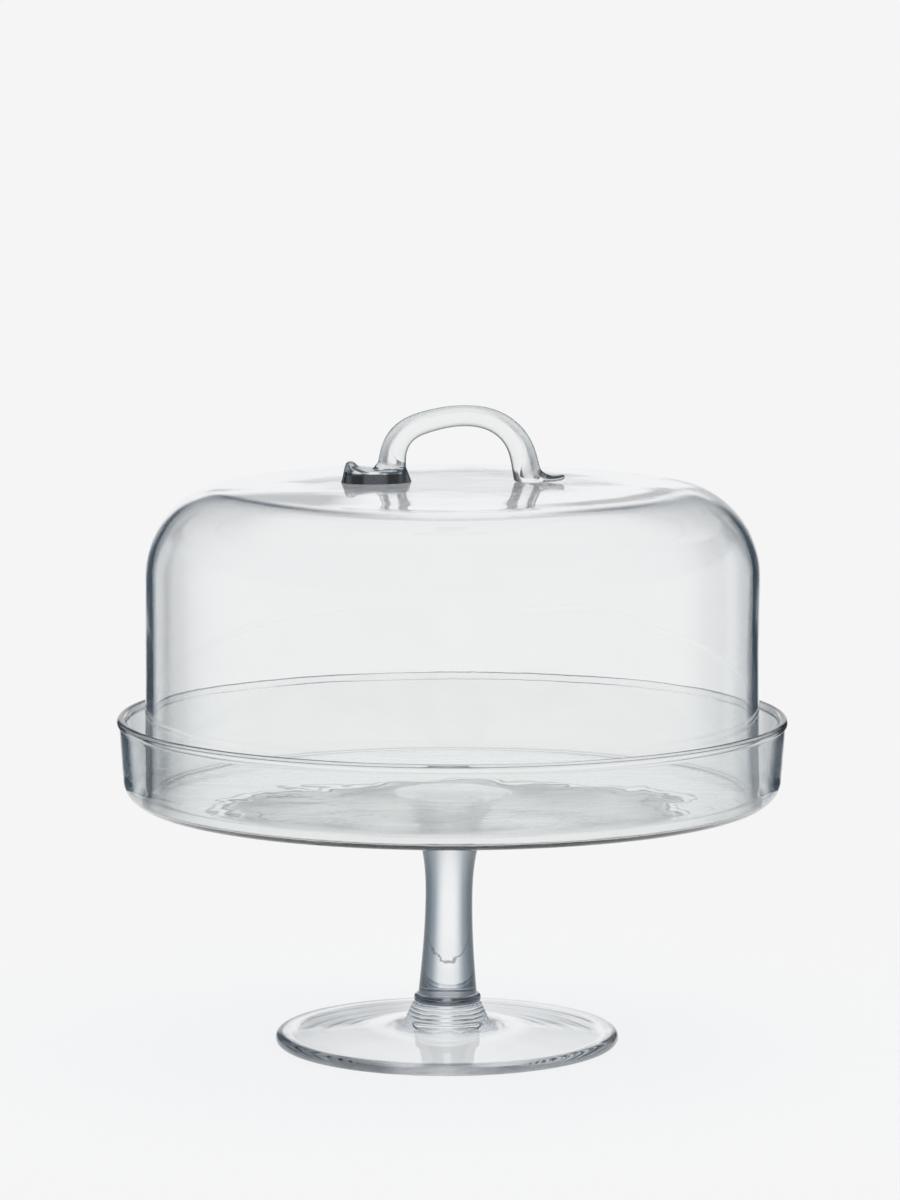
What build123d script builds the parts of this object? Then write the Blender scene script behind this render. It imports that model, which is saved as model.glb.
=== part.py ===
from build123d import *
import os
from math import cos, radians, sin

# A clear glass cake stand with a lift-off dome. All sizes are in millimetres. The origin is the
# centre of the foot on the table, +Z runs up the stem, and the handle's arch lies in the XZ plane.

# Tray: a shallow blown bowl with a flat floor, a leaning wall and a rolled rim
tray_diameter = 305.0
tray_height = 39.3
tray_wall = 3.0
tray_floor = 3.0
tray_flare = 2.7
tray_outer_corner = 12.0
tray_inner_corner = 5.0
rim_bead = 4.0
rim_proud = 0.8
rim_blend = 0.6

# Foot: a spun disc, hollow underneath, ground flat where it stands
stand_height = 112.0
foot_diameter = 157.0
foot_edge = 5.6
foot_ring_width = 5.0
foot_hollow = 6.5
foot_waist_radius = 46.0
foot_waist_height = 8.2
boss_radius = 18.4
boss_height = 18.6
ripple_count = 4
ripple_height = 1.7
ripple_swell = 0.35

# Stem: solid, waisted, with a collar at the foot and a trumpet flare under the tray
stem_base_radius = 13.4
stem_waist_radius = 10.75
stem_neck_radius = 12.5
stem_flare_radius = 27.0
stem_waist_share = 0.50
stem_neck_share = 0.745
collar_radius = 15.3
collar_height = 4.4

# Dome: a blown bell with a near-vertical wall, a two-radius shoulder and an almost flat crown
dome_wall = 3.0
dome_wall_height = 100.5
dome_draft = 0.35
dome_clearance = 1.0
dome_seat_gap = 0.3
rim_round_share = 0.45
shoulder_radius = 42.0
shoulder_turn = 58.0
crown_edge_radius = 31.4
crown_edge_slope = 2.0

# Handle: one gather of glass, pressed down at the left, pulled over in an arch and sheared off
handle_rise = 29.9
handle_half_span = 31.0
handle_offset = 1.5
rod_top = 9.5
rod_foot = 13.2
rod_swell = 0.8
rod_stations = 17
pad_lead = 5.3
pad_length = 31.2
pad_width = 20.0
pad_height = 4.6
pad_taper = 14.0
pad_round = 1.6
lip_lean = 122.0
tail_lean = 2.0
trim_depth = 1.8

# The arch's centreline, as shares of the half span across and of the rise up from the crown
arch_shape = (
    (-0.94, -0.06),
    (-0.92, 0.35),
    (-0.87, 0.56),
    (-0.70, 0.78),
    (-0.44, 0.90),
    (0.13, 1.00),
    (0.58, 0.91),
    (0.84, 0.70),
    (0.98, 0.42),
    (1.03, 0.20),
    (1.10, -0.06),
)

# Lip from the pad's outer end, tail from the far leg: place along X, height over the crown,
# thickness and width
lip_stations = (
    (9.3, 1.5, 7.0, 15.0),
    (6.1, 4.4, 5.2, 14.0),
    (3.9, 6.8, 3.4, 10.0),
)
tail_stations = (
    (0.5, 3.6, 8.0, 12.0),
    (6.0, 3.0, 6.6, 11.0),
    (12.0, 2.3, 4.6, 9.4),
    (18.4, 2.6, 2.9, 6.0),
)

# Heights and radii that follow from the sizes above
tray_top = stand_height + tray_height
tray_rim_radius = tray_diameter / 2 - rim_proud
tray_base_radius = tray_rim_radius - tray_flare
floor_top = stand_height + tray_floor
floor_flat_radius = tray_base_radius - tray_wall - tray_inner_corner
foot_radius = foot_diameter / 2
stem_length = stand_height - boss_height
dome_base_radius = floor_flat_radius - dome_clearance
dome_base = floor_top + dome_seat_gap
pad_centre = handle_offset - handle_half_span - pad_lead
tail_root = handle_offset + handle_half_span

def tray_section():
    """Half section of the tray, from its axis out to the rolled rim."""
    bead_centre = (tray_diameter / 2 - rim_bead / 2, tray_top - rim_bead / 2)
    with BuildSketch(Plane.XZ) as section:
        with BuildLine():
            skin = FilletPolyline(
                (0, stand_height),
                (tray_base_radius, stand_height),
                (tray_rim_radius, bead_centre[1]),
                (tray_rim_radius - tray_wall, bead_centre[1]),
                (tray_base_radius - tray_wall, floor_top),
                (0, floor_top),
                radius=(tray_outer_corner, 0, 0, tray_inner_corner),
            )
            Line(skin @ 1, skin @ 0)
        make_face()
        with Locations(bead_centre):
            Circle(rim_bead / 2)
        creases = section.vertices().filter_by(
            lambda v: v.X > tray_base_radius - tray_wall and v.Y > tray_top - rim_bead
        )
        fillet(creases, rim_blend)
    return section.sketch


def foot_section():
    """Half section of the foot: hollow, standing ring, rounded edge, sweep up to the boss."""
    ring_outer = foot_radius - foot_edge / 2
    ripples_base = boss_height - ripple_count * ripple_height
    with BuildSketch(Plane.XZ) as section:
        with BuildLine():
            TangentArc((0, foot_hollow), (ring_outer - foot_ring_width, 0), tangent=(1, 0))
            Line((ring_outer - foot_ring_width, 0), (ring_outer, 0))
            edge = ThreePointArc(
                (ring_outer, 0), (foot_radius, foot_edge / 2), (ring_outer, foot_edge)
            )
            sweep_up = Bezier(
                edge @ 1,
                (foot_waist_radius, foot_waist_height),
                (boss_radius + ripple_height, foot_waist_height),
                (boss_radius, ripples_base),
            )
            corner = sweep_up @ 1
            for ripple in range(1, ripple_count + 1):
                share = ripple / ripple_count
                end_radius = boss_radius + (collar_radius - boss_radius) * share
                end = Vector(end_radius, ripples_base + ripple * ripple_height)
                swell = (corner + end) / 2 + Vector(ripple_swell, ripple_swell / 2)
                ThreePointArc(corner, swell, end)
                corner = end
            Polyline(corner, (0, boss_height), (0, foot_hollow))
        make_face()
    return section.sketch


def stem_section():
    """Half section of the stem, collar and waist up to the flare under the tray."""
    collar_top = boss_height + collar_height
    with BuildSketch(Plane.XZ) as section:
        with BuildLine():
            Line((0, boss_height), (stem_base_radius, boss_height))
            ThreePointArc(
                (stem_base_radius, boss_height),
                (collar_radius, boss_height + collar_height / 2),
                (stem_base_radius, collar_top),
            )
            Spline(
                (stem_base_radius, collar_top),
                (stem_waist_radius, boss_height + stem_length * stem_waist_share),
                (stem_neck_radius, boss_height + stem_length * stem_neck_share),
                (stem_flare_radius, stand_height),
                tangents=((-0.1, 1), (1, 0.35)),
            )
            Polyline((stem_flare_radius, stand_height), (0, stand_height), (0, boss_height))
        make_face()
    return section.sketch


def dome_section(inset):
    """Half section of the dome as a full body, drawn this far inside its outer face."""
    draft = Vector(-sin(radians(dome_draft)), cos(radians(dome_draft)))
    edge_turn = 90 - dome_draft - shoulder_turn - crown_edge_slope
    with BuildSketch(Plane.XZ) as section:
        with BuildLine():
            base = Vector(dome_base_radius - inset, dome_base)
            wall = Line(base, base + draft * dome_wall_height)
            shoulder = JernArc(wall @ 1, draft, shoulder_radius - inset, shoulder_turn)
            edge = JernArc(shoulder @ 1, shoulder % 1, crown_edge_radius - inset, edge_turn)
            crown_radius = (edge @ 1).X / sin(radians(crown_edge_slope))
            crown = JernArc(edge @ 1, edge % 1, crown_radius, crown_edge_slope)
            Polyline(crown @ 1, (0, dome_base), base)
        make_face()
    return section.sketch


def tongue(stations, root, floor, lean):
    """A flattened finger of glass lofted through its stations, from this root and floor."""
    along = (cos(radians(lean)), 0, sin(radians(lean)))
    with BuildPart() as finger:
        for across, height, thickness, width in stations:
            centre = (root + across, 0, floor + height)
            with BuildSketch(Plane(centre, x_dir=(0, 1, 0), z_dir=along)):
                Ellipse(width / 2, thickness / 2)
        loft()
    return finger.part


with BuildPart() as foot:
    revolve(foot_section().faces(), axis=Axis.Z)
foot.part.label = "foot"

with BuildPart() as stem:
    revolve(stem_section().faces(), axis=Axis.Z)
stem.part.label = "stem"

with BuildPart() as tray:
    revolve(tray_section().faces(), axis=Axis.Z)
tray.part.label = "tray"

# The dome is a body drawn at its outer face, less the same body drawn one wall inside it
with BuildPart() as dome_body:
    revolve(dome_section(0).faces(), axis=Axis.Z)

with BuildPart() as dome_shell:
    add(dome_body.part)
    revolve(dome_section(dome_wall).faces(), axis=Axis.Z, mode=Mode.SUBTRACT)
    fillet(dome_shell.edges().group_by(Axis.Z)[0], dome_wall * rim_round_share)
dome_shell.part.label = "dome_shell"

# The handle's arch follows a curve; its rod is thinnest at the top and swells towards the dome
crown_top = dome_body.part.bounding_box().max.Z
arch_points = [
    (handle_offset + handle_half_span * across, crown_top + handle_rise * up)
    for across, up in arch_shape
]
with BuildLine(Plane.XZ) as arch:
    Spline(*arch_points)
centreline = arch.edge()

with BuildPart() as rod:
    for station in range(rod_stations):
        share = station / (rod_stations - 1)
        centre = centreline @ share
        drop = (crown_top + handle_rise - centre.Z) / handle_rise
        thickness = rod_top + (rod_foot - rod_top) * max(drop, 0) ** rod_swell
        with BuildSketch(Plane(centre, x_dir=(0, 1, 0), z_dir=centreline % share)):
            Circle(thickness / 2)
    loft()

# The gather's first touch: an oval pad with a rounded shoulder
with BuildPart() as pad:
    with BuildSketch(Plane.XY.offset(crown_top - trim_depth)):
        with Locations((pad_centre, 0)):
            Ellipse(pad_length / 2, pad_width / 2)
    extrude(amount=pad_height + trim_depth, taper=pad_taper)
    fillet(pad.edges().group_by(Axis.Z)[-1], pad_round)

with BuildPart() as handle:
    add(rod.part)
    add(pad.part)
    add(tongue(lip_stations, pad_centre - pad_length / 2, crown_top, lip_lean))
    add(tongue(tail_stations, tail_root, crown_top, tail_lean))
    add(dome_body.part, mode=Mode.SUBTRACT)
handle.part.label = "handle"

os.makedirs("parts", exist_ok=True)
export_step(foot.part, "parts/foot.step")
export_step(stem.part, "parts/stem.step")
export_step(tray.part, "parts/tray.step")
export_step(dome_shell.part, "parts/dome_shell.step")
export_step(handle.part, "parts/handle.step")
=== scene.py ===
# %% [markdown]
# # A footed glass cake stand under a lift-off dome
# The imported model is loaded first, because every piece of glass is built around it and rides on one of
# its bodies. Its box is kept at once, so that the finished glass can be compared with it at the end.

# %% Load the frame
from math import atan2, cos, degrees, pi, radians, sin, tan

import bpy
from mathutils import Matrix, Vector


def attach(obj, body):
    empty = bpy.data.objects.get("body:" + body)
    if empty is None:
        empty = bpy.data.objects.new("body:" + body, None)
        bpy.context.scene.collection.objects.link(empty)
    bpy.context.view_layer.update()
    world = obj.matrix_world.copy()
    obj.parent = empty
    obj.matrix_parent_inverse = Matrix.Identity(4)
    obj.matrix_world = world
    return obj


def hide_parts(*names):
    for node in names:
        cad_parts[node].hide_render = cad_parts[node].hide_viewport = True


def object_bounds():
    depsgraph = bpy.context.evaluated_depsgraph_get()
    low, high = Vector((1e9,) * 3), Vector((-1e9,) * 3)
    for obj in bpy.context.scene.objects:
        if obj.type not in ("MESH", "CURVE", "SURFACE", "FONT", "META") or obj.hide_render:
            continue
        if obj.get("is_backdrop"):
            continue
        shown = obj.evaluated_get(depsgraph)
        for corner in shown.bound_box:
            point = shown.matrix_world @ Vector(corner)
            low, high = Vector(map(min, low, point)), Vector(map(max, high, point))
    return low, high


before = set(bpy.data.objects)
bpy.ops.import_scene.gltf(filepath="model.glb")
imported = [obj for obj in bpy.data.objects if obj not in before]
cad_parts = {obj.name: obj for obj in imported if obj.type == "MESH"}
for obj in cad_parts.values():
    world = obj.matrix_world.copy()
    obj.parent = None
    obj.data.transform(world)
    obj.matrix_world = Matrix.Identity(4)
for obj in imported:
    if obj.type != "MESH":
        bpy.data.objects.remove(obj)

cad_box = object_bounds()

# %% [markdown]
# ## Units and selection
# Glass is measured in millimetres and Blender works in metres, so one constant turns one into the other.
# Operators act on whatever is selected, and the loaded model is selected, so every step starts by
# clearing the selection.

# %% Selection helpers
MM = 0.001


def deselect_all():
    """Leave edit mode and clear the selection."""
    if bpy.context.object is not None and bpy.context.object.mode != "OBJECT":
        bpy.ops.object.mode_set(mode="OBJECT")
    bpy.ops.object.select_all(action="DESELECT")


def pick(*pieces):
    """Select these pieces alone and make the first one active."""
    deselect_all()
    for piece in pieces:
        piece.select_set(True)
    bpy.context.view_layer.objects.active = pieces[0]


deselect_all()
print(len(bpy.context.selected_objects), "objects selected")

# %% [markdown]
# ## Turned sections
# Every part but the handle is turned about the stem's axis, as the glassworker turns it on the iron. Half
# of its section is drawn as one line of points, out from the axis along X and up along Z. Straight runs
# and arcs make up most of it, and a stroll strings both together without working out each corner.

# %% Runs, arcs and strolls
def line_points(start, end, steps):
    """Points after start, evenly spaced, up to and with end."""
    start, end = Vector(start), Vector(end)
    return [start.lerp(end, step / steps) for step in range(1, steps + 1)]


def arc_points(centre, radius, first, last, steps):
    """Points on an arc from one angle to another, in degrees, without the first."""
    angles = [radians(first + (last - first) * step / steps) for step in range(1, steps + 1)]
    return [Vector((centre[0] + radius * cos(a), centre[1] + radius * sin(a))) for a in angles]


def stroll(start, heading, moves):
    """Walk a section: each move is a length or a radius, the turn in degrees, and its steps."""
    points, place = [], Vector(start)
    for size, turn, steps in moves:
        if turn == 0:
            ahead = Vector((cos(radians(heading)), sin(radians(heading))))
            points += line_points(place, place + ahead * size, steps)
        else:
            side = heading + (90 if turn > 0 else -90)
            centre = place + size * Vector((cos(radians(side)), sin(radians(side))))
            points += arc_points(centre, size, side + 180, side + 180 + turn, steps)
            heading += turn
        place = points[-1]
    return points


print("a run of 10 and a corner of 5 end at", stroll((0, 0), 0, [(10, 0, 1), (5, 90, 4)])[-1])

# %% [markdown]
# The section could be lofted ring by ring, but one open line and one spin give cleaner glass, because
# each ring keeps its exact radius. The line starts as a plane merged to a single vertex, which is then
# extruded from point to point. The spin ends where it began, so its doubles are merged and its normals
# made to point outwards.

# %% Spin a section
def spin_section(name, points, steps):
    """Extrude a single vertex along the section in millimetres, and spin it into a closed body."""
    places = [Vector((x * MM, 0, z * MM)) for x, z in points]
    deselect_all()
    bpy.ops.mesh.primitive_plane_add(size=MM, location=places[0])
    piece = bpy.context.object
    piece.name = piece.data.name = name
    bpy.ops.object.transform_apply(location=True, rotation=False, scale=False)
    bpy.ops.object.mode_set(mode="EDIT")
    bpy.ops.mesh.select_all(action="SELECT")
    bpy.ops.mesh.merge(type="CENTER")
    for before, after in zip(places, places[1:]):
        bpy.ops.mesh.extrude_region_move(TRANSFORM_OT_translate={"value": after - before})
    bpy.ops.mesh.select_all(action="SELECT")
    bpy.ops.mesh.spin(steps=steps, angle=2 * pi, center=(0, 0, 0), axis=(0, 0, 1))
    bpy.ops.mesh.select_all(action="SELECT")
    bpy.ops.mesh.remove_doubles(threshold=0.01 * MM)
    bpy.ops.mesh.normals_make_consistent(inside=False)
    bpy.ops.object.mode_set(mode="OBJECT")
    print(name, len(piece.data.vertices), "vertices")
    return piece


# %% [markdown]
# ## The foot
# A gather spun out to a disc on the bench: hollow underneath so that only a ground ring touches the
# table, with a rounded edge and a sweep up to a boss that keeps the ripples of the joining tool. The
# sweep is one cubic curve, pulled flat at the disc's end and flat again under the boss.

# %% Foot
foot_radius = 78.5
foot_edge = 5.6
foot_hollow = 6.5
ring_outer = foot_radius - foot_edge / 2
ring_inner = ring_outer - 5.0
waist_radius = 46.0
waist_height = 8.2
boss_height = 18.6
boss_radius = 18.4
collar_radius = 15.3
ripples = 4
ripple_height = 1.7
ripple_swell = 0.45
ripple_steps = 6


def bezier_points(a, b, c, d, steps):
    """Points on a cubic curve, without its start."""
    places = []
    for step in range(1, steps + 1):
        t = step / steps
        s = 1 - t
        x = s**3 * a[0] + 3 * s * s * t * b[0] + 3 * s * t * t * c[0] + t**3 * d[0]
        z = s**3 * a[1] + 3 * s * s * t * b[1] + 3 * s * t * t * c[1] + t**3 * d[1]
        places.append(Vector((x, z)))
    return places


def foot_points():
    """The foot's half section, from the middle of its hollow round to the top of the boss."""
    hollow_radius = (ring_inner**2 + foot_hollow**2) / (2 * foot_hollow)
    sweep = degrees(atan2(ring_inner, hollow_radius - foot_hollow))
    base = boss_height - ripples * ripple_height
    points = [Vector((0, foot_hollow))]
    points += arc_points((0, foot_hollow - hollow_radius), hollow_radius, 90, 90 - sweep, 22)
    points += line_points((ring_inner, 0), (ring_outer, 0), 3)
    points += arc_points((ring_outer, foot_edge / 2), foot_edge / 2, -90, 90, 16)
    points += bezier_points(
        (ring_outer, foot_edge), (waist_radius, waist_height),
        (boss_radius + ripple_height, waist_height), (boss_radius, base), 34,
    )
    for ripple in range(1, ripples + 1):
        low = points[-1]
        radius = boss_radius + (collar_radius - boss_radius) * ripple / ripples
        high = Vector((radius, base + ripple * ripple_height))
        for step in range(1, ripple_steps + 1):
            swell = ripple_swell * sin(pi * step / ripple_steps)
            points.append(low.lerp(high, step / ripple_steps) + Vector((swell, 0)))
    points += line_points(points[-1], (0, boss_height), 6)
    return points


foot = spin_section("foot_glass", foot_points(), 192)

# %% [markdown]
# ## The stem
# Solid glass, drawn down to a waist and flared like a trumpet under the tray, with a rolled collar
# where it was stuck to the foot. A thin lath bent round four nails takes this line. The sum below does
# the same: it eases the slope at each inner knot until the bend is alike on both sides of it.

# %% Stem
stand_height = 112.0
collar_height = 4.4
collar_steps = 12
stem_base_radius = 13.4
stem_flare_radius = 27.0
stem_waist = (10.75, 65.3)
stem_neck = (12.5, 88.183)
stem_slopes = ((-0.105, 1.05), (0.92, 0.322))
stem_steps = (21, 12, 24)
joint_gap = 0.04


def lath_points(knots, first_slope, last_slope, steps):
    """An evenly bent line through the knots, without its start, with these steps in each span."""
    knots = [Vector(knot) for knot in knots]
    spans = [(after - before).length for before, after in zip(knots, knots[1:])]
    slopes = [Vector(first_slope)] + [Vector((0, 1)) for knot in knots[1:-1]] + [Vector(last_slope)]
    for sweep in range(40):
        for at in range(1, len(knots) - 1):
            low, high = spans[at - 1], spans[at]
            pull = (knots[at] - knots[at - 1]) * high / low + (knots[at + 1] - knots[at]) * low / high
            slopes[at] = (pull * 3 - slopes[at - 1] * high - slopes[at + 1] * low) / (2 * (low + high))
    points = []
    for at, span in enumerate(spans):
        leave, reach = slopes[at] * span / 3, slopes[at + 1] * span / 3
        points += bezier_points(knots[at], knots[at] + leave, knots[at + 1] - reach, knots[at + 1], steps[at])
    return points


def stem_points():
    """The stem's half section, a hair clear of the foot and the tray that it is stuck to."""
    low, high = boss_height + joint_gap, stand_height - joint_gap
    points = [Vector((0, low))] + line_points((0, low), (stem_base_radius, low), 6)
    for step in range(1, collar_steps + 1):
        angle = radians(-90 + 180 * step / collar_steps)
        out = stem_base_radius + (collar_radius - stem_base_radius) * cos(angle)
        points.append(Vector((out, boss_height + collar_height / 2 * (1 + sin(angle)))))
    knots = (points[-1], stem_waist, stem_neck, (stem_flare_radius, high))
    points += lath_points(knots, *stem_slopes, stem_steps)
    points += line_points((stem_flare_radius, high), (0, high), 10)
    return points


stem = spin_section("stem_glass", stem_points(), 160)

# %% [markdown]
# ## The tray
# A shallow blown bowl with a flat floor. Its rim is rolled over hot into a bead a little proud of the
# wall. The floor gets many rings, so that it can be rippled like real blown glass.

# %% Tray
tray_half = 152.5
tray_top = 151.3
bead_radius = 2.0
bead_start = (151.55, 147.6)
bead_turn = (-50, 205)
rim_radius = tray_half - 0.8
base_radius = rim_radius - 2.7
floor_top = 115.0
wall = 3.0
outer_corner = 12.0
inner_corner = 5.0


def tray_points():
    """The tray's half section: underside, wall, rolled rim, inner wall and floor."""
    bead_height = tray_top - bead_radius
    lean = degrees(atan2(bead_height - stand_height, rim_radius - base_radius))
    outer_run = outer_corner * tan(radians(lean / 2))
    inner_run = inner_corner * tan(radians(lean / 2))
    points = [Vector((0, stand_height))]
    points += stroll(points[0], 0, [(base_radius - outer_run, 0, 40), (outer_corner, lean, 14)])
    points += line_points(points[-1], bead_start, 12)
    points += arc_points((tray_half - bead_radius, bead_height), bead_radius, *bead_turn, 22)
    inner = base_radius - wall
    along = Vector((rim_radius - base_radius, bead_height - floor_top)).normalized() * inner_run
    points += line_points(points[-1], Vector((inner, floor_top)) + along, 12)
    points += stroll(points[-1], lean + 180, [(inner_corner, -lean, 8)])
    points += line_points((inner - inner_run, floor_top), (0, floor_top), 44)
    return points


tray = spin_section("tray_glass", tray_points(), 256)

# %% [markdown]
# ## The dome
# A blown bell: a wall that leans in a third of a degree, a shoulder of two radii and a crown that is
# almost flat. Both skins are drawn as one closed line, so the glass has its true 3 mm everywhere.

# %% Dome
dome_base = 115.3
dome_radius = 140.0
dome_height = 100.5
dome_lean = 0.35
shoulder_radius = 42.0
shoulder_turn = 58.0
crown_edge_radius = 31.4
crown_slope = 2.0
rim_round = 1.35


def dome_side(inset):
    """One skin of the dome, from its rim up to where its crown begins."""
    start = (dome_radius - inset, dome_base)
    edge_turn = 90 - dome_lean - shoulder_turn - crown_slope
    shoulder = (shoulder_radius - inset, shoulder_turn, 18)
    crown_edge = (crown_edge_radius - inset, edge_turn, 12)
    return [Vector(start)] + stroll(start, 90 + dome_lean, [(dome_height, 0, 26), shoulder, crown_edge])


def crown_radius(side):
    """The radius of the crown that carries this skin on to the axis."""
    return side[-1][0] / sin(radians(crown_slope))


def dome_skin(inset):
    """One skin of the dome, from its rim up to the middle of the crown."""
    side = dome_side(inset)
    side += stroll(side[-1], 180 - crown_slope, [(crown_radius(side), crown_slope, 22)])
    side[-1][0] = 0.0
    return side


def dome_points():
    """The closed line: down the inner skin, round the fire-polished rim and up the outer skin."""
    low = dome_base + rim_round
    points = dome_skin(wall)[:0:-1]
    points += arc_points((dome_radius - wall + rim_round, low), rim_round, 180, 270, 5)
    points += arc_points((dome_radius - rim_round, low), rim_round, 270, 360, 5)
    return points + dome_skin(0)[1:]


dome = spin_section("dome_glass", dome_points(), 256)
crown_top = max(vertex.co.z for vertex in dome.data.vertices) / MM
print("crown top", round(crown_top, 2), "mm")

# %% [markdown]
# ## The handle
# One gather of hot glass: pressed down at the left, pulled over in an arch and sheared off into a tail.
# The model's handle has each touch as its own solid form. Two more are modelled here: a rounder pad with
# a wall that narrows to its top, and a drop that fills the corner between the pad and the arch's leg.

# %% The pad and the drop
pad_x = -34.3
pad_size = (36.3, 31.0, 12.0)
pad_middle = -0.4
pad_taper = 0.76
drop_place = (-30.6, 4.0)
drop_size = (5.4, 6.5, 5.4)


def fit_touch(sizes, x, height):
    """Resize what is in edit mode and set it on the crown, in millimetres."""
    bpy.ops.mesh.select_all(action="SELECT")
    bpy.ops.transform.resize(value=[size * MM for size in sizes], center_override=(0, 0, 0))
    bpy.ops.transform.translate(value=(x * MM, 0, (crown_top + height) * MM))
    bpy.ops.object.mode_set(mode="OBJECT")


def pressed_pad():
    """The pad as the gather was pressed: an upright oval that narrows to its top."""
    deselect_all()
    bpy.ops.mesh.primitive_cylinder_add(vertices=96, radius=0.5, depth=1)
    piece = bpy.context.object
    bpy.ops.object.mode_set(mode="EDIT")
    bpy.ops.mesh.select_mode(type="VERT")
    bpy.ops.mesh.select_all(action="DESELECT")
    bpy.ops.object.mode_set(mode="OBJECT")
    for vertex in piece.data.vertices:
        vertex.select = vertex.co.z > 0
    bpy.ops.object.mode_set(mode="EDIT")
    bpy.ops.transform.resize(value=(pad_taper, pad_taper, 1), center_override=(0, 0, 0))
    fit_touch(pad_size, pad_x, pad_middle)
    return piece


def sunk_drop():
    """A squashed drop of glass at the foot of the arch's left leg."""
    deselect_all()
    bpy.ops.mesh.primitive_uv_sphere_add(segments=48, ring_count=24, radius=1)
    piece = bpy.context.object
    bpy.ops.object.mode_set(mode="EDIT")
    fit_touch(drop_size, *drop_place)
    return piece


touches = [pressed_pad(), sunk_drop()]
print("touches", [[round(side / MM, 1) for side in touch.dimensions] for touch in touches])

# %% [markdown]
# The flame melts the touches into one skin. Here a voxel remesh joins them and a smoothing rounds the
# creases, which also thins the rod a little, so the skin is swollen by what it lost. In between, the lip
# and the tail are bent as the worker's tongs left them: the lip up, and the tail down and then up.

# %% Melt the handle
voxel = 0.5
smooth_rounds = 36
swell = 0.13
bend_depth = 4.0
bend_power = 1.6
bends = (
    (pad_x - 2.5, pad_x - 14.0, 3.0, 1.5),
    (36.0, 43.0, -1.8, 0.0),
    (43.0, 51.0, 2.4, 0.0),
)


def apply_modifier(piece, kind, **settings):
    """Add one modifier, set it up and apply it."""
    pick(piece)
    modifier = piece.modifiers.new(kind.lower(), kind)
    for name, value in settings.items():
        setattr(modifier, name, value)
    bpy.ops.object.modifier_apply(modifier=modifier.name)


def share(value, low, high):
    """How far a value has come from low to high: 0 at low and 1 at high."""
    return (value - low) / (high - low)


def clamp(value):
    """A share kept between 0 and 1."""
    return min(1.0, max(0.0, value))


def bend_end(piece, start, end, rise, floor_height):
    """Raise one end of the piece, more towards its tip and its top."""
    for vertex in piece.data.vertices:
        x, height = vertex.co.x / MM, vertex.co.z / MM - crown_top
        high = clamp(share(height, floor_height, floor_height + bend_depth))
        vertex.co.z += MM * rise * clamp(share(x, start, end)) ** bend_power * high


def melted_copy(name, node):
    """A copy of a model node and the further touches, melted into one skin."""
    piece = bpy.data.objects.new(name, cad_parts[node].data.copy())
    bpy.context.scene.collection.objects.link(piece)
    pick(piece)
    bpy.ops.object.mode_set(mode="EDIT")
    bpy.ops.mesh.select_all(action="SELECT")
    bpy.ops.mesh.remove_doubles(threshold=0.005 * MM)
    bpy.ops.object.mode_set(mode="OBJECT")
    pick(piece, *touches)
    bpy.ops.object.join()
    apply_modifier(piece, "REMESH", mode="VOXEL", voxel_size=voxel * MM)
    for bend in bends:
        bend_end(piece, *bend)
    apply_modifier(piece, "SMOOTH", factor=0.5, iterations=smooth_rounds)
    apply_modifier(piece, "DISPLACE", strength=swell * MM, mid_level=0.0)
    return piece


handle = melted_copy("handle_glass", "handle")
print("handle top", round(max(vertex.co.z for vertex in handle.data.vertices) / MM, 2), "mm")

# %% [markdown]
# The underside takes the crown's own curve, as soft glass does. A block with that curve for its top is
# spun below the handle, and a boolean takes away what reaches into it.

# %% Trim the handle to the crown
block_radius = 60.0
block_depth = 20.0
block_rings = 30


def trimmer_points():
    """A block whose top is the crown, a hair proud of it."""
    top = crown_top + joint_gap
    curve = crown_radius(dome_side(0))
    low = [Vector((0, top - block_depth)), Vector((block_radius, top - block_depth))]
    rings = [block_radius * (1 - ring / block_rings) for ring in range(block_rings + 1)]
    return low + [Vector((x, top - curve * (1 - cos(x / curve)))) for x in rings]


trimmer = spin_section("trimmer", trimmer_points(), 96)
apply_modifier(handle, "BOOLEAN", operation="DIFFERENCE", object=trimmer, solver="EXACT")
bpy.data.objects.remove(trimmer)
print("handle", len(handle.data.polygons), "faces")

# %% [markdown]
# ## Hand-made irregularity
# The stand was joined by eye: the foot sits a little to one side and the stem leans back to the middle.
# Each ring slides sideways by its height, so that the rings stay round and level.

# %% Lean
foot_shift = -2.4
stem_low_shift = -2.2
stem_high_shift = -0.8


def shift_by_height(piece, low_shift, high_shift):
    """Slide each ring sideways, from one shift at the bottom to another at the top."""
    heights = [vertex.co.z for vertex in piece.data.vertices]
    low, high = min(heights), max(heights)
    for vertex in piece.data.vertices:
        vertex.co.x += MM * (low_shift + (high_shift - low_shift) * share(vertex.co.z, low, high))


shift_by_height(foot, foot_shift, foot_shift)
shift_by_height(stem, stem_low_shift, stem_high_shift)
print("foot and stem moved by", foot_shift, "and", stem_low_shift, "to", stem_high_shift, "mm")

# %% [markdown]
# The blown walls wander by a few tenths of a millimetre and the floor ripples, which is what bends the
# lines seen through them. A cloud texture pushes the skin about, and a vertex group holds it back where
# the glass has to stay put: at the rim that sits on the floor, under the handle and where pieces join.
# Each row gives the piece, the name, the cloud's size and push, its direction and the group's weight.

# %% Wander and ripple
def wobble(piece, name, size, amount, direction):
    """Blown glass is never quite true: push the skin about by a slow cloud, in millimetres."""
    cloud = bpy.data.textures.new(name, "CLOUDS")
    cloud.noise_scale = size * MM
    cloud.noise_depth = 1
    cloud.cloud_type = "COLOR" if direction == "RGB_TO_XYZ" else "GRAYSCALE"
    apply_modifier(
        piece, "DISPLACE", texture=cloud, strength=amount * MM, mid_level=0.5,
        texture_coords="LOCAL", direction=direction, vertex_group=name,
    )


def bell_weight(place, out):
    """Nothing at the rim or under the handle."""
    return min(share(place.z, 122, 142), share(out, 62, 92))


def wall_weight(place, out):
    """All of the push at the rim, and next to nothing at the floor."""
    return share(out, 100, 150) * share(place.z, stand_height, 142)


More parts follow.
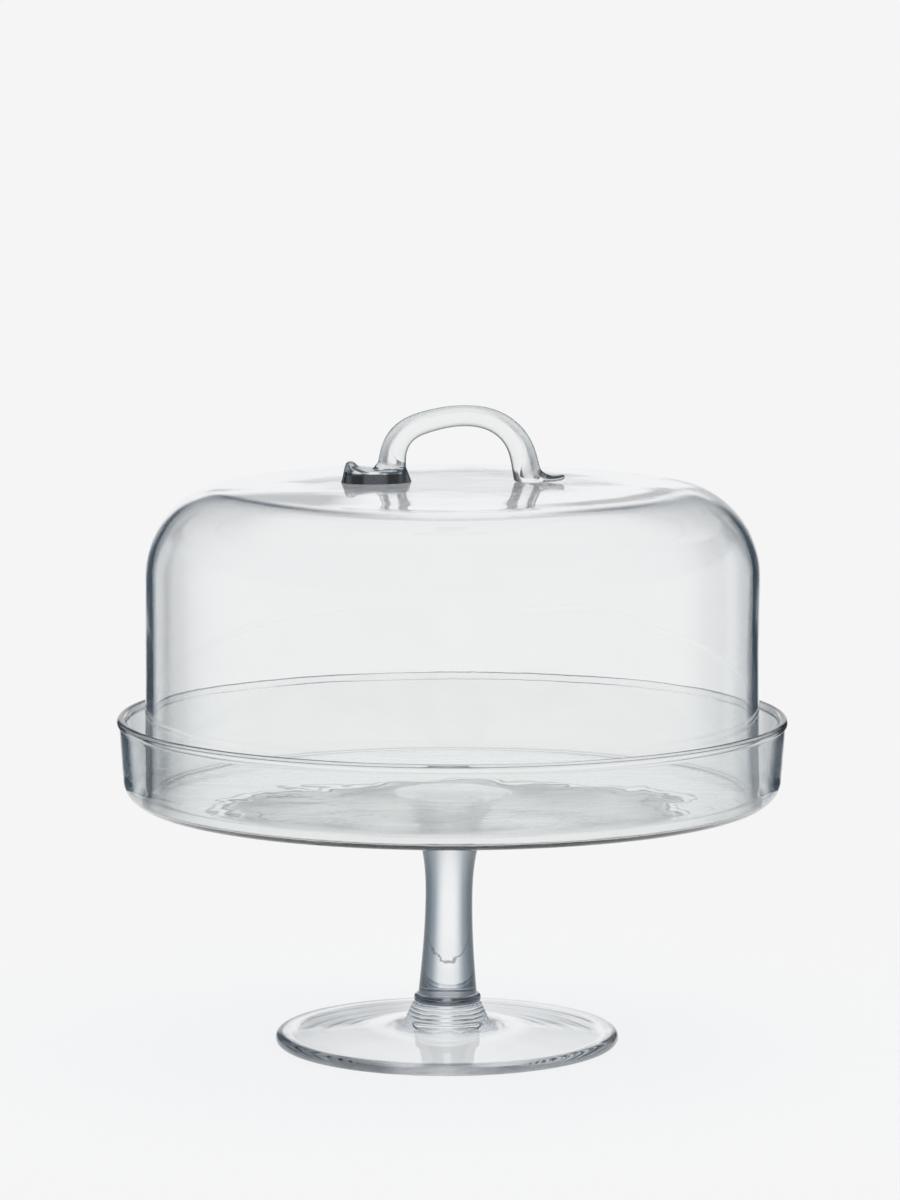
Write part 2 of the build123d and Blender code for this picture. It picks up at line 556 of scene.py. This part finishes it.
def floor_weight(place, out):
    """Nothing at the wall or over the stem's flare."""
    return min(share(out, 148, 136), share(out, 29, 41))


def foot_weight(place, out):
    """Nothing at the ground ring or round the boss."""
    return min(share(place.z, 4.5, 7.5), share(out, 24, 34))


wanders = (
    (dome, "bell_wander", 95, 1.6, "RGB_TO_XYZ", bell_weight),
    (tray, "rim_wander", 70, 0.9, "RGB_TO_XYZ", wall_weight),
    (tray, "floor_ripple", 34, 0.12, "NORMAL", floor_weight),
    (foot, "foot_ripple", 26, 0.2, "NORMAL", foot_weight),
)
for piece, name, size, amount, direction, weight in wanders:
    group = piece.vertex_groups.new(name=name)
    for vertex in piece.data.vertices:
        place = vertex.co / MM
        group.add([vertex.index], clamp(weight(place, place.xy.length)), "REPLACE")
for piece, name, size, amount, direction, weight in wanders:
    wobble(piece, name, size, amount, direction)
    print(name, "pushes by up to", amount / 2, "mm")

# %% [markdown]
# Glass is shaded smooth all over. Shading by angle keeps a true edge where faces meet sharply, as they do
# at the ground ring, and spares the flat faces beside it a false roundness.

# %% Smooth shading
crease_angle = 40

for piece in (foot, stem, tray, dome, handle):
    pick(piece)
    bpy.ops.object.shade_smooth_by_angle(angle=radians(crease_angle))
    print(piece.name, len(piece.data.polygons), "faces")

# %% [markdown]
# ## Shader maths
# A material is a small sum. This class wraps a socket, so that a sum on values can be written as one and
# adds its own Math nodes. Every other node comes from its one method.

# %% Sockets that add up
class Wire:
    """An output socket; sums with it become Math nodes."""

    def __init__(self, tree, socket=None):
        self.tree, self.socket = tree, socket

    def node(self, kind, settings=None, inputs=None, out=0):
        """Add a node, set it up, feed its sockets and return one of its outputs."""
        made = self.tree.nodes.new(kind)
        for name, value in (settings or {}).items():
            if name == "stops":
                ends = made.color_ramp.elements
                ends[0].position, ends[0].color = value[0]
                ends[1].position, ends[1].color = value[-1]
                for place, colour in value[1:-1]:
                    ends.new(place).color = colour
            else:
                setattr(made, name, value)
        for key, value in (inputs or {}).items():
            if isinstance(value, Wire):
                self.tree.links.new(value.socket, made.inputs[key])
            else:
                made.inputs[key].default_value = value
        return Wire(self.tree, made.outputs[out]) if made.outputs else None

    def math(self, operation, *terms):
        return self.node("ShaderNodeMath", {"operation": operation}, dict(enumerate(terms)))

    def __add__(self, other):
        return self.math("ADD", self, other)

    def __sub__(self, other):
        return self.math("SUBTRACT", self, other)

    def __rsub__(self, other):
        return self.math("SUBTRACT", other, self)

    def __mul__(self, other):
        return self.math("MULTIPLY", self, other)

    __radd__, __rmul__ = __add__, __mul__


# %% [markdown]
# A few sums come up in every glass: a soft step, a sign dropped, a value capped, a thin line, and the
# parts and lengths of vectors. Each has a name, so that a material reads as what it does.

# %% Named sums
def step_up(value, low, high):
    """0 below low and 1 above high, with a soft ramp between."""
    settings = {"interpolation_type": "SMOOTHSTEP"}
    return value.node("ShaderNodeMapRange", settings, {0: value, 1: low, 2: high, 3: 0.0, 4: 1.0})


def unsigned(value):
    """A value without its sign."""
    return value.math("ABSOLUTE", value)


def at_most(value, top):
    """A value capped at the top."""
    return value.math("MINIMUM", value, top)


def line_at(value, centre, half_width):
    """1 on a thin line where the value crosses the centre, and 0 beside it."""
    return 1 - step_up(unsigned(value - centre), half_width * 0.3, half_width)


def axis(wires, vector, name):
    """One coordinate of a vector."""
    return wires.node("ShaderNodeSeparateXYZ", None, {0: vector}, out=name)


def along(wires, a, b):
    """How far one vector reaches along another."""
    return wires.node("ShaderNodeVectorMath", {"operation": "DOT_PRODUCT"}, {0: a, 1: b}, out="Value")


def stretched(wires, vector, by):
    """A vector with each coordinate multiplied."""
    return wires.node("ShaderNodeVectorMath", {"operation": "MULTIPLY"}, {0: vector, 1: by})


def span_of(wires, place, centre, stretch):
    """The distance from a centre in metres, with each axis stretched first."""
    scaled = wires.node(
        "ShaderNodeVectorMath", {"operation": "MULTIPLY_ADD"},
        {0: place, 1: stretch, 2: [-c * s for c, s in zip(centre, stretch)]},
    )
    return wires.node("ShaderNodeVectorMath", {"operation": "LENGTH"}, {0: scaled}, out="Value")


def out_from_axis(wires, place, x=0):
    """The distance from an upright axis through this X."""
    return span_of(wires, place, (x, 0, 0), (1, 1, 0))


def noise(wires, place, scale, detail=2.0, roughness=0.5):
    """Slow random hills on the piece's own coordinates, this many to a metre."""
    settings = {"Vector": place, "Scale": scale, "Detail": detail, "Roughness": roughness}
    return wires.node("ShaderNodeTexNoise", None, settings)


def tint(factor, a, b):
    """A mix of two colours."""
    return factor.node("ShaderNodeMix", {"data_type": "RGBA"}, {0: factor, 6: a, 7: b}, out=2)


def blue_grey(level):
    """A grey of this brightness, bluer as it darkens: the colour of painted shade in the glass, and of the
    room.
    """
    return (level**1.14, level, level**0.89, 1)


print("half-bright smoke", [round(part, 3) for part in blue_grey(0.5)])

# %% [markdown]
# ## Clear glass
# Clear glass is seen by its edges. Where an upright wall turns away from the eye, it bends the light of the
# dark studio beside the white backdrop, so its edge looks blue-grey. That blue-grey is painted shade: Layer
# Weight finds that turn and darkens the glass's colour, and the surface's own upright share keeps floors and
# crowns clear. Slow bumps give the blown ripple.

# %% Glass colour and surface
CARRIED_LIGHT = (0.94, 0.95, 0.955, 1)


def glass_colour(wires, place, normal, facing, clear, edge_shade_stops, upright_share):
    """Clear with faint streaks, and painted shade where an upright wall turns away from the eye."""
    across = axis(wires, normal, "Z")
    upright = 1 - across * across * upright_share
    turned = facing + (noise(wires, place, 16.0) - 0.5) * facing * 0.2
    stops = [(at, blue_grey(level)) for at, level in edge_shade_stops]
    # Painted shade: the glass darkens to blue-grey as its surface turns away from the eye.
    turn_shade = wires.node("ShaderNodeValToRGB", {"stops": stops}, {0: turned})
    streak = step_up(noise(wires, place, 30.0, 3.0), 0.5, 0.8)
    body = tint(streak, clear, [part * 0.985 for part in clear[:3]] + [1])
    settings = {"data_type": "RGBA", "blend_type": "MULTIPLY"}
    return wires.node("ShaderNodeMix", settings, {0: upright, 6: body, 7: turn_shade}, out=2)


def finish_glass(wires, colour, haze, bump):
    """The glass for what the eye sees, and plain clearness for rays that only carry light."""
    glass = wires.node(
        "ShaderNodeBsdfPrincipled", None,
        {"Base Color": colour, "Roughness": haze, "IOR": 1.5, "Transmission Weight": 1.0, "Normal": bump},
    )
    plain = wires.node("ShaderNodeBsdfTransparent", None, {"Color": CARRIED_LIGHT})
    shadow_ray = wires.node("ShaderNodeLightPath", out="Is Shadow Ray")
    diffuse_ray = wires.node("ShaderNodeLightPath", out="Is Diffuse Ray")
    lit = wires.node("ShaderNodeMixShader", None, {0: shadow_ray, 1: glass, 2: plain})
    lit = wires.node("ShaderNodeMixShader", None, {0: diffuse_ray, 1: lit, 2: plain})
    wires.node("ShaderNodeOutputMaterial", None, {"Surface": lit})


# %% [markdown]
# Marks that stay in the glass, most of them painted shade and painted reflections, are painted in its own
# coordinates. The marks function of each glass below gets the colour and the waves so far and returns them
# with its own added, and a further roughness.

# %% Make a glass
def make_glass(name, clear, edge_shade_stops, upright_share, ripple, ripple_size, marks):
    """Clear glass: painted shade by how far it turns away, its ripple in millimetres and its marks."""
    material = bpy.data.materials.new(name)
    material.use_nodes = True
    material.node_tree.nodes.clear()
    wires = Wire(material.node_tree)
    place = wires.node("ShaderNodeTexCoord", out="Object")
    normal = wires.node("ShaderNodeNewGeometry", out="Normal")
    facing = wires.node("ShaderNodeLayerWeight", None, {"Blend": 0.5}, out="Facing")
    colour = glass_colour(wires, place, normal, facing, clear, edge_shade_stops, upright_share)
    waves = noise(wires, place, ripple_size, 1.0) + noise(wires, place, ripple_size * 4, 2.0) * 0.12
    colour, waves, press = marks(wires, place, normal, facing, colour, waves)
    bump = wires.node("ShaderNodeBump", None, {"Strength": 1.0, "Distance": ripple * MM, "Height": waves})
    haze = step_up(noise(wires, place, 45.0, 4.0), 0.45, 0.8) * 0.012 + press
    finish_glass(wires, colour, haze, bump)
    print(name, len(material.node_tree.nodes), "nodes")
    return material


# %% [markdown]
# ## The tray's glass
# The floor is greyer by painted shade and rippled in its front half, with a few fine cords round that zone:
# ripples in the surface, drawn also as painted dark lines of shade. The grey and the lines stand for
# refractions that only a low eye sees, so they fade out from above. The zone starts as an oval and is torn
# by noise, and it is thinner over the stem's flare. The rim's bead has two painted dark lines of shade round
# it, and painted shade where it turns away.

# %% Glass of the tray
LOW_VIEW = (0.74, 0.88)
ZONE_CENTRE = (0.0, -0.048, 0)
ZONE_STRETCH = (1, 1.35, 0)
ZONE_EDGE = (0.095, 0.100)
FLARE_EDGE = (0.0255, 0.0285)
BEAD_START = (0.1472, 0.1476)
BEAD_TOP = (0.1509, 0.1511)
BEAD_SIDE = 0.1499


def floor_marks(wires, place, facing, up):
    """The floor's painted grey zone of shade, its cords, where the glass lies flat, and how low the eye is.
    """
    flat = step_up(unsigned(up), 0.9, 0.97)
    torn = (noise(wires, place, 15.0, 3.0, 0.6) - 0.5) * 0.13
    oval = span_of(wires, place, ZONE_CENTRE, ZONE_STRETCH) + torn
    cords = line_at(oval, 0.1, 0.0026) * 1.3 + line_at(oval, 0.109, 0.0019)
    cords = cords + line_at(oval, 0.087, 0.0017) * 0.3
    depth = 0.55 + step_up(oval, 0.03, 0.1) * 0.35 + (noise(wires, place, 19.0, 1.0) - 0.5) * 1.1
    zone = (1 - step_up(oval, *ZONE_EDGE)) * depth.math("MAXIMUM", depth, 0.15) * 1.15
    zone = zone * (step_up(out_from_axis(wires, place), *FLARE_EDGE) * 0.8 + 0.2)
    return zone, cords, flat, step_up(facing, *LOW_VIEW)


def tray_marks(wires, place, normal, facing, colour, waves):
    """A painted grey zone of shade with cords on the floor, painted dark lines along the bead, and streaks in
    the floor.
    """
    zone, cords, flat, low_view = floor_marks(wires, place, facing, axis(wires, normal, "Z"))
    # Painted shade: the grey zone and the dark lines of the cords, seen only from low down.
    colour = tint(at_most((zone + cords) * flat * low_view, 0.97), colour, blue_grey(0.012))
    height = axis(wires, place, "Z")
    bead = step_up(height, *BEAD_START)
    outward = step_up(along(wires, place, normal), 0.03, 0.06)
    # Painted shade: dark lines round the bead, and where it turns away from the eye.
    lines = step_up(height, *BEAD_TOP) + line_at(height, BEAD_SIDE, 0.00035) * outward * 0.8
    turned = step_up(facing, 0.35, 0.7) * 0.5
    colour = tint(at_most((lines + turned) * bead, 0.96), colour, blue_grey(0.03))
    streaks = noise(wires, stretched(wires, place, (1, 2.6, 1)), 26.0, 2.0) * flat * 1.2
    return colour, waves * (1 - bead) + cords * flat * low_view * 0.5 + streaks, 0.0


rippled = make_glass(
    "pressed_floor_glass", (0.975, 0.98, 0.972, 1),
    ((0.0, 1.0), (0.5, 0.95), (0.85, 0.72), (1.0, 0.2)),
    0.8, 0.12, 22.0, tray_marks,
)

# %% [markdown]
# ## The dome's glass
# The crown was still soft when the hot handle was pressed on, so it is wavy and a little dull round it.
# Seen from low down, it also has a painted reflection of the dark studio: a grey patch at the left of its
# front edge and a sliver at the right.

# %% Glass of the dome
CROWN_START = (0.250, 0.252)
PRESSED = (0.040, 0.085)
PATCH_CENTRE = (-0.080, -0.070, 0)
PATCH_EDGE = (0.026, 0.050)
SLIVER_OUT = 0.099


def dome_marks(wires, place, normal, facing, colour, waves):
    """Waves on the crown round the handle, and a painted reflection: a grey patch at the left and a sliver at
    the right.
    """
    from_axis = out_from_axis(wires, place)
    crown = step_up(axis(wires, place, "Z"), *CROWN_START)
    pressed = (1 - step_up(from_axis, *PRESSED)) * crown
    torn = (noise(wires, stretched(wires, place, (1, 2.2, 1)), 17.0, 3.0) - 0.5) * 0.05
    patch = 1 - step_up(span_of(wires, place, PATCH_CENTRE, (1, 1.5, 0)) + torn, *PATCH_EDGE)
    sliver = line_at(from_axis + torn * 0.2, SLIVER_OUT, 0.009)
    sliver = sliver * step_up(axis(wires, place, "X"), 0.015, 0.06)
    sliver = sliver * (1 - step_up(axis(wires, place, "Y"), -0.03, -0.01))
    # Painted reflection of the dark studio, seen only from low down.
    grey = (patch * 0.95 + sliver) * crown * step_up(facing, *LOW_VIEW)
    colour = tint(at_most(grey, 0.97), colour, blue_grey(0.004))
    return colour, waves + noise(wires, place, 40.0, 1.0) * pressed * 2.6, pressed * 0.14


blown = make_glass(
    "blown_clear_glass", (0.985, 0.988, 0.988, 1),
    ((0.0, 1.0), (0.8, 0.97), (0.93, 0.75), (1.0, 0.35)),
    1.0, 0.12, 18.0, dome_marks,
)

# %% [markdown]
# ## The stem's glass
# A solid rod works as a lens: its middle shows the bright backdrop and its sides turn dark at once, so
# its ramp of painted edge shade falls early. It is darker in a band over its collar, and has a ragged
# painted line of shade in the shape of a U, standing for a refraction.

# %% Glass of the stem
U_LINE_X = -0.0017
U_LINE_LOW = 0.039
U_LINE_CURVE = 110
COLLAR_BAND_START, COLLAR_BAND_END = (0.0186, 0.0192), (0.0222, 0.0236)
FLARE_START = (0.104, 0.109)
FRONT = (-0.001, 0.001)


def stem_marks(wires, place, normal, facing, colour, waves):
    """A dark band over the collar, a painted line of shade like a U, and less painted shade where the flare
    meets the tray.
    """
    height = axis(wires, place, "Z")
    across = axis(wires, place, "X") - U_LINE_X
    ragged = (noise(wires, place, 380.0, 2.0) - 0.5) * 0.0055
    front = 1 - step_up(axis(wires, place, "Y"), *FRONT)
    # Painted shade: a ragged line like a U, on the front only.
    u_shade_line = line_at(height - across * across * U_LINE_CURVE + ragged, U_LINE_LOW, 0.0009) * front * 0.8
    collar_band = step_up(height, *COLLAR_BAND_START) * (1 - step_up(height, *COLLAR_BAND_END)) * 0.85
    colour = tint(u_shade_line, colour, blue_grey(0.03))
    colour = tint(collar_band, colour, blue_grey(0.06))
    # Less of the painted shade where the flare meets the tray: the colour turns nearly clear.
    return tint(step_up(height, *FLARE_START) * 0.75, colour, (0.98, 0.985, 0.985, 1)), waves, 0.0


drawn = make_glass(
    "drawn_stem_glass", (0.985, 0.99, 0.992, 1),
    (
        (0.0, 0.98), (0.03, 0.95), (0.06, 0.84), (0.107, 0.54), (0.15, 0.34), (0.2, 0.2), (0.37, 0.1),
        (0.63, 0.02), (1.0, 0.01),
    ),
    1.0, 0.1, 30.0, stem_marks,
)

# %% [markdown]
# ## The foot's glass
# The disc is clear, and a line of painted shade along its rounded edge stands for the dark of the studio
# that the edge gathers, deeper on the left.

# %% Glass of the foot
EDGE_OUT = (0.0745, 0.0757)


def foot_marks(wires, place, normal, facing, colour, waves):
    """A painted dark edge of shade, deeper on the left."""
    left = 1 - step_up(axis(wires, place, "X"), -0.05, 0.05) * 0.5
    patchy = step_up(noise(wires, place, 30.0, 2.0), 0.3, 0.6) * 0.35 + 0.65
    # Painted shade along the rounded edge.
    edge = step_up(out_from_axis(wires, place, foot_shift * MM), *EDGE_OUT) * left * patchy * 0.9
    return tint(edge, colour, blue_grey(0.07)), waves, 0.0


spun = make_glass(
    "spun_foot_glass", (0.98, 0.985, 0.988, 1),
    ((0.0, 1.0), (0.3, 0.9), (0.6, 0.6), (1.0, 0.3)),
    1.0, 0.05, 26.0, foot_marks,
)

# %% [markdown]
# ## The handle's glass
# Painted shade darkens the pad low down, where it was pressed on, and the inner corners of both legs and
# the top of the tail. The arch's inner side has a painted dark line of shade where it turns away. The surface
# that faces the arch's middle is found by the spoke from each point to that middle, held against the normal.

# %% Glass of the handle
ARCH_MIDDLE = (0.0015, 0, (crown_top + 4) * MM)
PAD_END, BAND_TOP = (-0.018, -0.016), (0.0042, 0.0048)
LEFT_LEG, LEFT_CLEAR, LEFT_TOP = (-0.0206, -0.0198), (-0.010, -0.006), (0.011, 0.013)
RIGHT_LEG, RIGHT_CLEAR, RIGHT_TOP = (0.0285, 0.0300), (0.010, 0.012), (0.004, 0.006)
TAIL_START = (0.0355, 0.037)


def leg_corners(wires, x, height):
    """Painted shade: dark wedges in the inner corners where the two legs leave the crown."""
    left = step_up(x + (0.0125 - height) * 0.32, *LEFT_LEG) * (1 - step_up(x, *LEFT_CLEAR))
    left = left * (1 - step_up(height, *LEFT_TOP))
    right = (1 - step_up(x - (0.006 - height) * 0.4, *RIGHT_LEG)) * step_up(x, *RIGHT_CLEAR)
    right = right * (1 - step_up(height, *RIGHT_TOP))
    return left * 0.97 + right * 0.95


def inner_line(wires, place, normal, facing, x):
    """A painted dark line of shade where the arch's inner side turns away from the eye."""
    spoke = wires.node("ShaderNodeVectorMath", {"operation": "SUBTRACT"}, {0: ARCH_MIDDLE, 1: place})
    spoke = wires.node("ShaderNodeVectorMath", {"operation": "NORMALIZE"}, {0: spoke})
    inward = step_up(along(wires, spoke, normal), 0.2, 0.6)
    return inward * step_up(facing, 0.36, 0.66) * (0.75 + step_up(x, 0.0, 0.02) * 0.2)


def handle_marks(wires, place, normal, facing, colour, waves):
    """Painted shade low in the pad, at the legs' inner corners, on the tail and inside the arch."""
    up = axis(wires, normal, "Z")
    x = axis(wires, place, "X")
    height = axis(wires, place, "Z") - crown_top * MM
    wall_share = 1 - step_up(unsigned(up), 0.75, 0.95)
    front = 1 - step_up(axis(wires, place, "Y"), *FRONT)
    ragged = height + (noise(wires, place, 180.0, 2.0) - 0.5) * 0.0014
    band = (1 - step_up(x, *PAD_END)) * (1 - step_up(ragged, *BAND_TOP)) * wall_share * front
    tail = step_up(x, *TAIL_START) * step_up(up, 0.2, 0.5)
    # All of this darkening is painted shade.
    dark = band + leg_corners(wires, x, height) + tail * 0.9 + inner_line(wires, place, normal, facing, x)
    return tint(at_most(dark, 0.995), colour, blue_grey(0.002)), waves, 0.0


pulled = make_glass(
    "pulled_handle_glass", (0.955, 0.955, 0.95, 1),
    ((0.0, 1.0), (0.3, 0.92), (0.5, 0.78), (0.62, 0.5), (0.74, 0.16), (0.86, 0.04), (1.0, 0.01)),
    0.1, 0.03, 30.0, handle_marks,
)

# %% [markdown]
# ## Dress the pieces
# Each piece gets its glass, rides on a body of the model and stands for one of its nodes, which is hidden;
# the name of the finish that goes with that node is printed beside it.

# %% Dress the pieces
dressing = (
    (foot, "foot", "stand", "solid_glass", spun),
    (stem, "stem", "stand", "solid_glass", drawn),
    (tray, "tray", "stand", "blown_glass", rippled),
    (dome, "dome_shell", "dome", "blown_glass", blown),
    (handle, "handle", "dome", "solid_glass", pulled),
)
for piece, node, body, slot, material in dressing:
    piece.data.materials.clear()
    piece.data.materials.append(material)
    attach(piece, body)
    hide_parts(node)
    print(piece.name, "rides on", body, "for", node, "in", slot)

# %% [markdown]
# ## The floor
# The floor is a disc of the backdrop's own colour, which the eye sees at full strength, so that it
# doesn't end in a line. Near the stand a share of it is plain paper, which takes a soft shadow, and rays
# that only carry light find paper all over.

# %% Floor
BACKDROP = (0.913, 0.913, 0.913, 1)
PAPER = (0.9, 0.9, 0.9, 1)
floor_radius = 600.0
floor_drop = 0.05
shadow_reach = (0.12, 0.5)


def make_floor():
    """The floor's material: backdrop colour for what the eye sees, with a soft shadow near the foot."""
    material = bpy.data.materials.new("studio_floor")
    material.use_nodes = True
    material.node_tree.nodes.clear()
    wires = Wire(material.node_tree)
    place = wires.node("ShaderNodeTexCoord", out="Object")
    away = wires.node("ShaderNodeVectorMath", {"operation": "LENGTH"}, {0: place}, out="Value")
    backdrop_share = 1 - (1 - step_up(away, *shadow_reach)) * 0.3
    paper = wires.node("ShaderNodeBsdfDiffuse", None, {"Color": PAPER})
    glow = wires.node("ShaderNodeEmission", None, {"Color": BACKDROP})
    diffuse_ray = wires.node("ShaderNodeLightPath", out="Is Diffuse Ray")
    mixed = wires.node("ShaderNodeMixShader", None, {0: backdrop_share, 1: paper, 2: glow})
    mixed = wires.node("ShaderNodeMixShader", None, {0: diffuse_ray, 1: mixed, 2: paper})
    wires.node("ShaderNodeOutputMaterial", None, {"Surface": mixed})
    return material


deselect_all()
bpy.ops.mesh.primitive_circle_add(
    vertices=96, radius=floor_radius * MM, fill_type="NGON", location=(0, 0, -floor_drop * MM)
)
floor = bpy.context.object
floor.name = "studio_floor"
bpy.ops.object.transform_apply(location=True)
floor.data.materials.append(make_floor())
floor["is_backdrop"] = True
print("floor", round(floor.dimensions.x, 2), "m across")

# %% [markdown]
# ## The room
# Glass shows its room twice. Through it, the eye sees the white backdrop, so rays that only pass through
# find the backdrop all round, and a dimmer sky overhead. What it mirrors, outside or inside its own wall,
# is the rest of the studio: a bright window behind the stand, black cards on both sides of it and pale
# walls farther round, the palest on the right. High up, the window is narrow and the cards reach farther.
# Each stop is a bearing in degrees from straight behind the stand, positive to the right, and a
# brightness.

# %% What a mirrored ray finds
LOW_ROOM = (
    (-180, 0.72), (-120, 0.72), (-100, 0.75), (-78, 0.68), (-66, 0.4), (-60, 0.06), (-46, 0.06),
    (-40, 0.62), (-34, 0.55), (-30, 0.08), (-15, 0.08), (-11, 0.9), (11, 0.9), (15, 0.06), (32, 0.06),
    (38, 0.6), (60, 0.8), (84, 0.95), (110, 0.8), (130, 0.72), (180, 0.72),
)
UPPER_ROOM = (
    (-180, 0.65), (-90, 0.6), (-60, 0.35), (-40, 0.10), (-7, 0.08), (-2.5, 0.88), (4.5, 0.88),
    (9, 0.10), (35, 0.12), (60, 0.5), (90, 0.7), (180, 0.65),
)
CEILING = (0.60, 0.63, 0.66, 1)

world = bpy.data.worlds.new("studio")
bpy.context.scene.world = world
world.use_nodes = True
world.node_tree.nodes.clear()
wires = Wire(world.node_tree)
ray = wires.node("ShaderNodeTexCoord", out="Generated")
ray_x = axis(wires, ray, "X")
height = axis(wires, ray, "Z")
bearing = ray_x.math("ARCTAN2", ray_x, axis(wires, ray, "Y")) * (0.5 / pi) + 0.5
bands = []
for levels in (LOW_ROOM, UPPER_ROOM):
    stops = [((degree + 180) / 360, blue_grey(level)) for degree, level in levels]
    bands.append(wires.node("ShaderNodeValToRGB", {"stops": stops}, {0: bearing}))
cards = tint(step_up(height, 0.16, 0.25), bands[0], bands[1])
room = tint(step_up(height, 0.6, 0.8), cards, CEILING)
print("room of", len(LOW_ROOM), "low and", len(UPPER_ROOM), "high stops")

# %% [markdown]
# The world then chooses by the ray's own story. A ray that a surface has mirrored finds the room, one
# that lights the paper finds an even grey, and one straight from the camera finds the plain backdrop.

# %% World
SKY_LIGHT = (0.72, 0.73, 0.75, 1)
DUSK = (0.55, 0.60, 0.64, 1)

beyond = tint(step_up(height, 0.3, 0.8), BACKDROP, DUSK)
camera_ray = wires.node("ShaderNodeLightPath", out="Is Camera Ray")
diffuse_ray = wires.node("ShaderNodeLightPath", out="Is Diffuse Ray")
mirrored = at_most(wires.node("ShaderNodeLightPath", out="Glossy Depth"), 1.0)
shown = tint(mirrored, tint(camera_ray, beyond, BACKDROP), room)
shown = tint(diffuse_ray, shown, SKY_LIGHT)
background = wires.node("ShaderNodeBackground", None, {"Color": shown, "Strength": 1.0})
wires.node("ShaderNodeOutputWorld", None, {"Surface": background})
print("world", len(world.node_tree.nodes), "nodes")

# %% [markdown]
# ## Lamps
# Three large soft lamps light the paper and throw the stand's soft shadow. The room already holds what
# the glass mirrors, so the lamps hide from the camera and from mirrored and refracted rays. Each row
# gives the name, the place and the size in metres, the power in watts and the colour.

# %% Lamps
lamps = (
    ("left_strip", (-1.5, -0.9, 0.7), (0.35, 1.1), 7.0, (0.86, 0.94, 1.0)),
    ("right_strip", (1.6, -0.7, 0.6), (0.3, 0.9), 5.0, (1.0, 0.99, 0.97)),
    ("overhead", (0.2, 0.3, 1.9), (1.0, 1.0), 9.0, (1.0, 1.0, 1.0)),
)
lamp_target = Vector((0, 0, 0.17))
for name, place, size, power, colour in lamps:
    light = bpy.data.lights.new(name, "AREA")
    light.shape = "RECTANGLE"
    light.size, light.size_y = size
    light.energy = power
    light.color = colour
    lamp = bpy.data.objects.new(name, light)
    lamp.location = place
    lamp.rotation_euler = (lamp_target - Vector(place)).to_track_quat("-Z", "Y").to_euler()
    lamp.visible_camera = lamp.visible_glossy = lamp.visible_transmission = False
    bpy.context.scene.collection.objects.link(lamp)
    print(name, power, "W")

# %% [markdown]
# ## Camera
# The camera stands back and a little above the rim, and looks down by 6.8 degrees. A ray crosses up to
# eight walls of glass on its way through and is mirrored inside them, so it is allowed many bounces.

# %% Camera
eye = (-0.001, -2.2876, 0.47495)
look_down = 0.118
bounces = 40

lens = bpy.data.cameras.new("studio_camera")
lens.sensor_fit = "VERTICAL"
lens.sensor_height = 36.0
lens.lens = 152.25
lens.clip_end = 100.0
camera = bpy.data.objects.new("studio_camera", lens)
camera.location = eye
camera.rotation_euler = (pi / 2 - look_down, 0, 0)
scene = bpy.context.scene
scene.collection.objects.link(camera)
scene.camera = camera
scene.view_settings.view_transform = "Standard"
scene.cycles.max_bounces = scene.cycles.glossy_bounces = scene.cycles.transmission_bounces = bounces
print("camera looks down by", round(degrees(look_down), 1), "degrees")

# %% [markdown]
# ## Finish
# The two boxes are written side by side: the model's box and the finished glass's box.

# %% Write the boxes and finish
glass_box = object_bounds()
for name, box in (("model", cad_box), ("glass", glass_box)):
    print(name, [[round(c / MM, 2) for c in corner] for corner in box])
